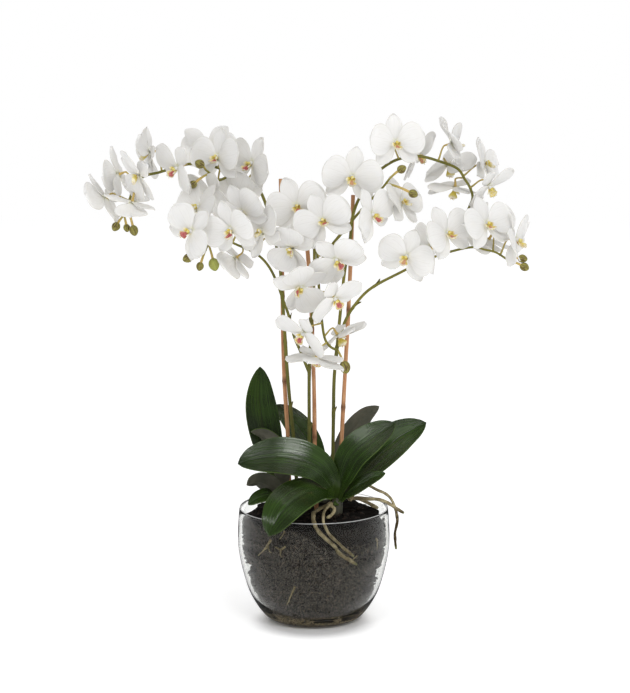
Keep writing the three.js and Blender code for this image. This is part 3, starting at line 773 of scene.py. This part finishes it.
# Flower stems.
# Three living stems, olive green and darker near the foot, with a papery scale at each node. Short
# peach stalks grow from their sprays to the backs of the blooms, and striped buds end the sprays.
STEM_RADIUS = 2.7
SPRAY_RADIUS = 2.2
STALK_RADIUS = 1.5
STEMS = {
    "left": {
        "main": [
            (-24, 60, -30), (-26, 190, -30), (-31, 281, -24), (-37, 342, -20), (-42, 403, -18),
            (-47, 485, -16), (-54, 572, -16), (-66, 625, -20), (-75, 660, -24), (-86, 682, -26),
            (-104, 695, -26), (-132, 708, -24), (-162, 718, -22), (-191, 720, -22),
            (-216, 714, -22), (-239, 707, -22), (-262, 701, -22), (-278, 686, -22),
            (-284, 668, -22), (-289, 655, -22), (-294, 641, -22),
        ],
        "twig": [
            (-126, 705, -24), (-148, 695, 12), (-161, 706, 26), (-168, 712, 30),
        ],
    },
    "middle": {
        "main": [
            (-8, 60, -2), (-7, 190, -2), (-7, 286, 0), (-7, 393, 4), (-4, 461, 6), (-1, 508, 8),
            (1, 548, 12), (1, 590, 22), (1, 614, 38), (2, 620, 56), (4, 606, 70), (6, 575, 78),
            (8, 530, 82), (13, 474, 84), (18, 446, 82), (27, 434, 80), (38, 429, 78),
        ],
        "b": [
            (-7, 393, 4), (-21, 428, 12), (-31, 452, 20), (-40, 487, 28), (-49, 512, 34),
            (-57, 535, 38), (-70, 561, 42), (-87, 579, 46), (-115, 593, 50), (-142, 602, 52),
            (-163, 595, 52), (-169, 584, 52),
        ],
        "g": [
            (0, 538, 11), (12, 570, 14), (31, 598, 15), (52, 622, 14), (66, 640, 12),
            (90, 666, 10), (107, 684, 10), (117, 697, 10),
        ],
    },
    "right": {
        "main": [
            (27, 60, -16), (29, 190, -14), (30, 249, -14), (31, 318, -14), (32, 382, -15),
            (36, 429, -16), (42, 493, -18), (48, 552, -20), (56, 600, -22), (62, 645, -24),
            (76, 678, -25), (90, 698, -26), (108, 715, -28), (130, 727, -30), (162, 732, -32),
            (200, 722, -32), (223, 712, -32), (234, 696, -32), (242, 683, -30), (246, 668, -30),
            (242, 656, -30), (238, 646, -30),
        ],
        "e": [
            (36, 429, -16), (46, 467, -6), (57, 490, 2), (77, 516, 10), (96, 531, 16),
            (134, 551, 20), (162, 565, 22), (188, 576, 22), (224, 587, 22), (249, 591, 22),
            (267, 587, 22), (283, 583, 22), (305, 569, 22),
        ],
    },
}
SPRAYS = {
    "left": {"a": "main"}, "middle": {"b": "b", "c": "main", "g": "g"},
    "right": {"d": "main", "e": "e"},
}
BUDS = {
    "left": [
        ("main", (-307, 623, -20), (-294, 641, -22), 15),
        ("main", (-290, 621, -26), (-294, 641, -22), 13),
        ("main", (-279, 617, -16), (-289, 655, -22), 17),
        ("twig", (-176, 720, 34), (-166, 711, 28), 16),
        ("twig", (-187, 688, 30), (-161, 706, 26), 14),
    ],
    "middle": [
        ("b", (-196, 574, 52), (-169, 584, 52), 16),
        ("b", (-177, 561, 48), (-169, 584, 52), 14),
        ("b", (-155, 564, 56), (-163, 595, 52), 20),
        ("main", (49, 402, 74), (38, 429, 78), 20),
        ("g", (136, 712, 14), (117, 697, 10), 15),
        ("g", (154, 674, 14), (112, 690, 10), 15),
    ],
    "right": [
        ("e", (325, 573, 18), (300, 573, 22), 15),
        ("e", (328, 560, 22), (305, 569, 22), 15),
    ],
}
STEM, STALK, BUD, SCALE = range(4)
STEM_NODES = {"main": (0.2, 0.31, 0.42, 0.52), "b": (0.3,), "g": (0.4,), "e": (0.22, 0.36)}


def nearest(line, place_near):
    """The point of a line nearest to a place, and the line's direction there."""
    index = min(range(len(line)), key=lambda i: (line[i] - place_near).length)
    ahead = line[min(index + 1, len(line) - 1)] - line[max(index - 1, 0)]
    return line[index], ahead.normalized()


def stalk(root, ahead, bloom):
    """The route of a bloom's stalk: it leaves its spray slanting forward and bends to the bloom."""
    matrix = bloom_matrix(*bloom)
    back = [matrix @ Vector((0, 0, depth)) for depth in (-14, -5, -1.4)]
    leave = root + (ahead * 0.35 + (back[0] - root).normalized() * 0.65) * 4
    return smooth_path([root, leave, *back], 5)


def bud_shape(shape, ripe_layer, root, tip, size, ripe):
    """A closed bud: an egg with a blunt point and a seam on each side, green if it is ripe."""
    made = bmesh.ops.create_uvsphere(shape, u_segments=16, v_segments=12, radius=1, calc_uvs=True)
    turn = Vector((0, 0, 1)).rotation_difference((tip - root).normalized()).to_matrix()
    for vert in made["verts"]:
        x, y, z = vert.co
        narrow = 1.04 - 0.1 * z - 0.06 * z * z
        seam = 1 - 0.07 * math.exp(-(math.sin(1.5 * math.atan2(y, x)) / 0.3) ** 2)
        body = Vector((x * narrow * seam, y * narrow * seam * 0.92, z * 1.14 + 0.05 * z ** 5))
        vert.co = tip + turn @ (body * size * 0.43)
        vert[ripe_layer] = ripe
    give_finish(made["verts"], BUD)


def scale_form(radius):
    """A papery scale that wraps round its stem and stands off at its tip."""
    def form(out, side, half):
        angle = side * half / radius
        off = radius + 0.02 * out * out
        return Vector((out, off * math.sin(angle), off * math.cos(angle)))
    return form


olive_stem = Finish("olive_stem", 0.42, 0.4)
height = olive_stem.axis(olive_stem.on_piece(), "Z")
streaks = olive_stem.grain(700, 3, 0.6, stretch=(1, 1, 0.08))
patches = olive_stem.grain(28, 2, 0.5)
tone = olive_stem.layers(
    colour("5a5a1f"), ("7b732b", patches, 0.35, 0.65), ("3c401b", height, 0.52, 0.3),
)
olive_stem.feed("Base Color", olive_stem.mix(streaks * 0.5, tone, colour("94903f")))
olive_stem.bump(streaks, 0.0003)
peach_stalk = Finish("peach_stalk", 0.45, 0.4)
out = peach_stalk.axis(peach_stalk.node("UVMap"), "X")
mottle = peach_stalk.grain(260, 2, 0.5)
tone = peach_stalk.tint(colour("958a35"), "cfae62", out, 0.1, 0.8)
peach_stalk.feed("Base Color", peach_stalk.mix(mottle * 0.5, tone, colour("c8b877")))
striped_bud = Finish("striped_bud", 0.4, 0.45)
stripes = striped_bud.grain(1.0, 3, 0.6, over=striped_bud.node("UVMap"), stretch=(16, 1.6, 1))
tone = striped_bud.mix(striped_bud.grain(120), colour("7c7833"), colour("aba356"))
ripe = striped_bud.painted("ripe")
tone = striped_bud.mix(ripe * 0.7, tone, colour("a9b259"))
tone = striped_bud.mix(
    striped_bud.rise(stripes, 0.46, 0.6) * (0.9 - ripe * 0.6), tone, colour("4e3322"))
striped_bud.feed("Base Color", tone)
striped_bud.bump(stripes, 0.0005)
paper_scale = Finish("papery_scale", 0.6, 0.3)
fibres = paper_scale.grain(1.0, 3, 0.6, over=paper_scale.node("UVMap"), stretch=(2, 14, 1))
paper_scale.feed("Base Color", paper_scale.mix(fibres, colour("7b7638"), colour("4f4a24")))
for side, branches in STEMS.items():
    lines, grown, scales = [], {}, []
    for branch, route in branches.items():
        line = smooth_path([place(at) for at in route], 8)
        run = shares(line)
        foot = STEM_RADIUS if branch == "main" else SPRAY_RADIUS
        radii = []
        for share in run:
            swell = sum(0.5 * math.exp(-((share - joint) / 0.006) ** 2)
                        for joint in STEM_NODES.get(branch, ()))
            radii.append(foot * (1.16 - 0.42 * share) + swell)
        lines.append((line, radii, STEM))
        grown[branch] = line
        for share in STEM_NODES.get(branch, ()):
            index = min(range(len(run)), key=lambda i: abs(run[i] - share))
            scales.append((line[index], line[index + 1] - line[index], foot * 0.97, 15))
    for spray, branch in SPRAYS[side].items():
        for bloom in BLOOMS[spray]:
            behind = bloom_matrix(*bloom) @ Vector((0, 0, -14))
            root, ahead = nearest(grown[branch], behind)
            route = stalk(root, ahead, bloom)
            radii = [STALK_RADIUS * (1.15 - 0.3 * math.sin(math.pi * share)) + 0.9 * share ** 9
                     for share in shares(route)]
            lines.append((route, radii, STALK))
            scales.append((root, ahead, 1.9, 5))
    buds = []
    for branch, at, origin, size in BUDS[side]:
        root, ahead = nearest(grown[branch], place(origin))
        tip = place(at)
        route = smooth_path([root, root.lerp(tip, 0.5) + Vector((0, 0, 1.5)), tip], 5)
        radii = [STALK_RADIUS * (1 + 0.5 * share) for share in shares(route)]
        lines.append((route, radii, STALK))
        buds.append((route[-4], tip, size, float(branch == "b" and size > 17)))
    shape = tubes(lines, 3)
    ripe_layer = shape.verts.layers.float.new("ripe")
    for bud in buds:
        bud_shape(shape, ripe_layer, *bud)
    for number, (root, ahead, radius, length) in enumerate(scales):
        wide = 1.4 * radius
        outline = [(0, wide), (length * 0.4, wide * 0.85), (length * 0.8, wide * 0.35), (length, 0)]
        swing = Vector((math.cos(number * 2.4), math.sin(number * 2.4), 0))
        frame_of = axes(root, ahead, ahead.cross(swing))
        blade(shape, outline, scale_form(radius), frame_of, SCALE, across=3, thick=0.35)
    add_piece(
        f"flower_stalks_{side}", shape, [olive_stem, peach_stalk, striped_bud, paper_scale],
        f"flower_stem_{side}",
    )

# Leaves.
# Thick leathery strap leaves, folded along a sunk midrib. They are dark and glossy above and dull
# grey-green below, and grow alternately from short crowns set in the mix.
LEAF_OUTLINE = [
    (0, 0.3), (0.14, 0.42), (0.32, 0.77), (0.52, 0.99), (0.72, 0.96), (0.88, 0.66), (0.965, 0.3),
    (1, 0),
]
LEAF_FOLD = 0.16
LEAF_THICKNESS = 1.8
UNDERSIDE = 1
ROSETTES = {
    "left": ((-50, 184, -4), [
        ([(-50, 190, -4), (-60, 236, -30), (-74, 286, -46), (-84, 345, -52), (-84, 403, -52)],
         26, (0.25, -1, 0.1)),
        ([(-50, 190, -4), (-50, 236, -16), (-60, 272, -24), (-78, 294, -28), (-99, 300, -28)],
         17, (0, 0.75, 0.65)),
        ([(-50, 188, -4), (-64, 208, 2), (-86, 220, 6), (-106, 214, 8)],
         20, (-0.2, 0.7, 0.7)),
        ([(-50, 186, -4), (-66, 197, 14), (-88, 192, 22), (-104, 182, 24)],
         15, (-0.3, -0.5, 0.8)),
    ]),
    "right": ((36, 184, 20), [
        ([(36, 190, 20), (28, 218, 36), (2, 246, 48), (-45, 259, 54), (-92, 256, 54),
          (-120, 248, 52)],
         31, (0, -0.8, 0.6)),
        ([(36, 188, 20), (20, 202, 48), (-8, 202, 80), (-38, 183, 110), (-60, 155, 130),
          (-72, 131, 136)],
         35, (-0.35, -0.75, 0.6)),
        ([(36, 190, 20), (46, 226, 34), (62, 262, 38), (96, 292, 36), (128, 313, 30)],
         27, (-0.35, -0.8, 0.5)),
        ([(36, 188, 20), (62, 218, 6), (92, 252, -4), (134, 290, -14), (177, 314, -20)],
         30, (-0.1, -0.75, 0.65)),
        ([(36, 186, 20), (58, 202, 40), (84, 220, 46), (113, 233, 46)],
         13, (0, -0.6, 0.8)),
    ]),
    "back": ((14, 196, -62), [
        ([(14, 204, -62), (4, 252, -64), (-12, 288, -68), (-36, 320, -72), (-62, 342, -74)],
         22, (0.2, -0.8, 0.5)),
        ([(14, 204, -62), (36, 250, -66), (56, 292, -72), (80, 324, -78), (103, 340, -80)],
         17, (0.4, 0.9, 0.3)),
    ]),
}
CROWN_PROFILE = [(0, -17), (7, -17), (9.4, -8), (10, 4), (9, 11), (6, 15.5), (0, 17)]


def travel(line, run, share):
    """The place a share of the way along a line."""
    index = next((i for i in range(1, len(run)) if run[i] >= share), len(run) - 1)
    part = (share - run[index - 1]) / (run[index] - run[index - 1])
    return line[index - 1].lerp(line[index], part)


def leaf_form(route, look, phase):
    """Lays a leaf along its midrib, with its upper side looking one way."""
    line = smooth_path([place(at) for at in route], 16)
    run = shares(line)
    length = length_of(line)
    look = Vector(look).normalized()

    def form(out, side, half):
        share = min(1, max(0, out / length))
        back, on = max(0, share - 0.02), min(1, share + 0.02)
        middle = travel(line, run, share)
        ahead = (travel(line, run, on) - travel(line, run, back)).normalized()
        normal = (look - ahead * look.dot(ahead)).normalized()
        side = math.copysign(abs(side) ** 1.3, side)
        fold = half * LEAF_FOLD * abs(side) ** 1.25
        sunk = 0.9 * math.exp(-(side * half / 2.2) ** 2) * min(1, half / 8)
        wave = 0.035 * half * side * side * math.sin(7 * share + 1.7 * side + phase)
        lift = LEAF_THICKNESS / 2 + fold - sunk + wave
        return middle + normal.cross(ahead) * side * half + normal * lift
    return form, length


leaf_top = Finish("glossy_leaf", 0.22, 0.8)
spot, along, off_rib = leaf_top.on_blade()
ribs = leaf_top.grain(1, 2, over=spot, stretch=(0.9, 34, 1))
cloudy = leaf_top.grain(18, 1, 0.5)
pores = leaf_top.grain(900, 2, 0.5)
# Along the sunk midrib the green is darkened, a painted shade in the fold, and at the very margin
# it is lightened, a painted highlight along the edge.
leaf_top.feed("Base Color", leaf_top.layers(
    colour("172505"), ("283f0c", cloudy, 0.3, 0.7), ("466428", ribs, 0.45, 0.75, 0.4),
    ("131f0a", off_rib, 0.07, 0.0, 0.6), ("5c7038", off_rib, 0.975, 1.0, 0.5),
    ("556b30", along, 0.25, 0.0, 0.5),
))
leaf_top.bump(ribs * 0.95 + pores * 0.05, 0.0006)
leaf_under = Finish("dull_underside", 0.55, 0.35)
ribs = leaf_under.grain(1, over=leaf_under.node("UVMap"), stretch=(1.2, 50, 1))
cloudy = leaf_under.grain(40, 3, 0.6)
tone = leaf_under.tint(colour("3b3f30"), "565546", cloudy, 0.3, 0.7)
leaf_under.feed("Base Color", leaf_under.mix(ribs * 0.4, tone, colour("67645a")))
leaf_under.bump(ribs, 0.0006, 0.6)
for side, (crown, leaves) in ROSETTES.items():
    shape = turned(profile_points(CROWN_PROFILE), 4, 24)
    shape.loops.layers.uv.new("UVMap")
    bmesh.ops.translate(shape, vec=place(crown) - Vector((0, 0, 8)), verts=shape.verts)
    give_finish(shape.verts, UNDERSIDE)
    for number, (route, half, look) in enumerate(leaves):
        form, length = leaf_form(route, look, number * 2.1)
        outline = [(share * length, part * half) for share, part in LEAF_OUTLINE]
        blade(shape, outline, form, Matrix(), 0, UNDERSIDE, 9, 7, LEAF_THICKNESS)
    add_piece(
        f"strap_leaves_{side}", shape, [leaf_top, leaf_under], f"leaves_{side}", crease=50,
    )

# Aerial roots.
# Round living roots with a dull khaki skin, knobbly and a little crooked, with green growing tips.
# Some grow from a knot beside the right crown and over the rim, and some from a knot in front,
# down inside the glass, where ends of others show against it.
ROOTS = {
    "right": ((58, 192, 12), [
        (2.6, [(58, 192, 12), (73, 190, 8), (89, 183, 4), (102, 176, 0)]),
        (2.6, [(58, 192, 12), (81, 192, 16), (111, 188, 18), (129, 177, 18), (143, 168, 18)]),
        (2.2, [(58, 192, 12), (72, 207, 14), (84, 212, 14), (100, 206, 14), (118, 196, 14),
               (129, 177, 17), (132, 158, 16), (129, 132, 14), (131, 109, 14)]),
    ]),
    "front": ((26, 182, 52), [
        (2.6, [(26, 182, 52), (33, 174, 56), (27, 164, 68), (21, 160, 76)]),
        (2.2, [(26, 182, 52), (17, 172, 70), (15, 163, 92), (16, 153, 108), (24, 135, 111),
               (40, 118, 107), (62, 98, 95)]),
        (3, [(26, 182, 52), (4, 172, 66), (-1, 162, 92), (3, 145, 110), (18, 127, 111),
             (32, 115, 107), (40, 103, 104), (66, 85, 88)]),
    ]),
}
ROOT_STAND_OFF = 1.6
KNOT_RADIUS = 4.6
SWAY_SEED = 12
GLASS_ROOTS = [
    (2.1, [(-68, 124), (-73, 115), (-79, 108), (-87, 99)]),
    (1.2, [(-73, 115), (-70, 107), (-66, 104)]),
    (1.9, [(-44, 113), (-52, 109), (-60, 112)]), (1.4, [(-52, 109), (-53, 101), (-50, 96)]),
    (1.7, [(-30, 48), (-35, 36), (-42, 19)]), (1.0, [(68, 99), (62, 92), (57, 87)]),
    (1.3, [(-46, 139), (-50, 130), (-54, 126)]), (1.6, [(98, 127), (100, 116), (99, 107)]),
]
root_skin = Finish("root_skin", 0.75, 0.3)
out = root_skin.axis(root_skin.node("UVMap"), "X")
patches = root_skin.grain(110, 4, 0.6)
grit = root_skin.grain(800, 3, 0.6)
tone = root_skin.tint(colour("7d7153"), "b9ac87", patches, 0.35, 0.68)
tone = root_skin.tint(tone, "4b3f28", grit, 0.55, 0.75, 0.6)
right = root_skin.rise(root_skin.axis(root_skin.on_piece(), "X"), 0.108, 0.122)
low = root_skin.rise(root_skin.axis(root_skin.on_piece(), "Z"), 0.185, 0.172)
tone = root_skin.mix(right * low * root_skin.rise(patches, 0.35, 0.5), tone, colour("43371f"))
tone = root_skin.tint(tone, "7c8244", out, 0.95, 1.0, 0.6)
root_skin.feed("Base Color", tone)
root_skin.bump(patches * 0.6 + grit * 0.4, 0.0012)


def root_centre(height, radius):
    """How far from the vase's axis a root runs that lies between the mix and the glass."""
    return soil_radius(height) + ROOT_STAND_OFF - radius


def on_soil(radius, across, up):
    """The point on the front of the mix where a root is seen at a place across and up."""
    for toward in range(130):
        at = place((across, up, toward))
        if math.hypot(at.x, at.y) > root_centre(at.z, radius):
            break
    return at


noise.seed_set(SWAY_SEED)
for side, (knot, routes) in ROOTS.items():
    lines = []
    for number, (radius, route) in enumerate(routes):
        line = smooth_path([place(at) for at in route], 12)
        for index, (point, share) in enumerate(zip(line, shares(line))):
            sway = noise.noise_vector(point / 17 + Vector((number * 9, 0, 0)))
            point = point + sway * 1.1 * min(1, 6 * share, 6 * (1 - share))
            flat = point.xy.to_3d()
            if side == "front":
                short = root_centre(point.z, radius) - flat.length
                point += flat.normalized() * short * min(1, max(0, (164 - point.z) / 8))
            line[index] = point
        radii = []
        for point, share in zip(line, shares(line)):
            knobs = 1 + 0.28 * noise.noise(point / 7 + Vector((0, number * 5, 0)))
            radii.append(radius * knobs * (1 - 0.45 * max(0, (share - 0.9) / 0.1) ** 2))
        lines.append((line, radii, 0))
    for radius, spots in GLASS_ROOTS if side == "front" else ():
        line = smooth_path([on_soil(radius, *spot) for spot in spots], 8)
        line = [at + noise.noise_vector(at / 6) for at in line]
        radii = [radius * (1 + 0.4 * noise.noise(at / 3)) * (1 - 0.5 * share)
                 for at, share in zip(line, shares(line))]
        lines.append((line, radii, 0))
    shape = tubes(lines, 4)
    made = bmesh.ops.create_icosphere(shape, subdivisions=3, radius=KNOT_RADIUS)
    for vert in made["verts"]:
        vert.co *= 1 + 0.2 * noise.noise(vert.co / 2.4)
        vert.co += place(knot)
    add_piece(f"air_roots_{side}", shape, [root_skin], f"roots_{side}")

# Floor, light and camera.
# A white studio dome that shines softly of its own, with soft boxes that glossy leaves mirror,
# seen from slightly above at the photograph's angle.
DOME_PROFILE = [
    (0, -0.4), (20000, -0.4), (36000, 0), (40000, 2500), (38000, 15000), (26000, 28000),
    (0, 34000),
]
white_sweep = Finish("white_sweep", 0.9, 0.0, {"Emission Strength": 1.0})
where = white_sweep.on_piece()
# Round the vase's foot the dome gives no glow, and its glow rises outwards from a point a little in
# front of the foot: a painted soft shadow on the floor.
shadow_centre = white_sweep.node("Mapping", values={"Vector": where, "Location": (0, 0.03, 0)})
distance = white_sweep.node("VectorMath", {"operation": "LENGTH"}, {0: shadow_centre}, "Value")
far = white_sweep.rise(distance, 4, 8)
high_up = white_sweep.rise(white_sweep.axis(where, "Z"), 3, 9)
white_sweep.feed("Base Color", white_sweep.mix(far, (0.9,) * 3, (0,) * 3))
glow_with_painted_shadow = white_sweep.mix(white_sweep.rise(distance, 0.062, 0.108), (0,) * 3, (0.5,) * 3)
glow_with_painted_shadow = white_sweep.mix(white_sweep.rise(distance, 0.12, 0.7), glow_with_painted_shadow, (0.58,) * 3)
glow_with_painted_shadow = white_sweep.mix(high_up, white_sweep.mix(far, glow_with_painted_shadow, (1.0,) * 3), (0.52,) * 3)
white_sweep.feed("Emission Color", glow_with_painted_shadow)
dome = turned(profile_points(DOME_PROFILE), 6, 64)
bmesh.ops.reverse_faces(dome, faces=dome.faces)
sweep = add_object("studio_sweep", dome, [white_sweep])
sweep.visible_glossy = False
sweep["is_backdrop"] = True

studio = bpy.data.worlds.new("studio")
bpy.context.scene.world = studio
studio.use_nodes = True
backdrop = studio.node_tree.nodes["Background"].inputs
backdrop["Color"].default_value = (1.0, 1.0, 1.0, 1.0)
backdrop["Strength"].default_value = 0.11


def aim_at(holder, target):
    """Turns a light or a camera to face a place."""
    aim = Vector(target) - holder.location
    holder.rotation_euler = aim.to_track_quat("-Z", "Y").to_euler()


def soft_light(name, at, width, depth, power, mirrored=True):
    """A soft light that faces the plant, and that glossy things mirror or not."""
    lamp = bpy.data.lights.new(name, "AREA")
    lamp.shape = "RECTANGLE"
    lamp.size = width
    lamp.size_y = depth
    lamp.energy = power
    holder = show(name, lamp)
    holder.location = at
    aim_at(holder, (0, 0, 0.35))
    holder.visible_glossy = mirrored


soft_light("top_softbox", (-0.25, 0.7, 3.0), 1.6, 1.6, 3, mirrored=False)
soft_light("crest_softbox", (0.77, -2.12, 2.2), 1.2, 0.5, 20)
soft_light("strip_softbox", (-1.1, -2.0, 2.15), 0.5, 0.5, 7)
soft_light("side_softbox", (2.8, -1.2, 1.4), 2.0, 2.0, 5)

lens = bpy.data.cameras.new("camera")
lens.lens = 100.62
lens.sensor_width = 36
lens.sensor_fit = "AUTO"
lens.clip_end = 500
camera = show("camera", lens)
camera.location = (0, -3.0, 0.88)
aim_at(camera, (0.002, 0, 0.435))
bpy.context.scene.camera = camera
bpy.context.scene.view_settings.view_transform = "Standard"

low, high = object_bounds()
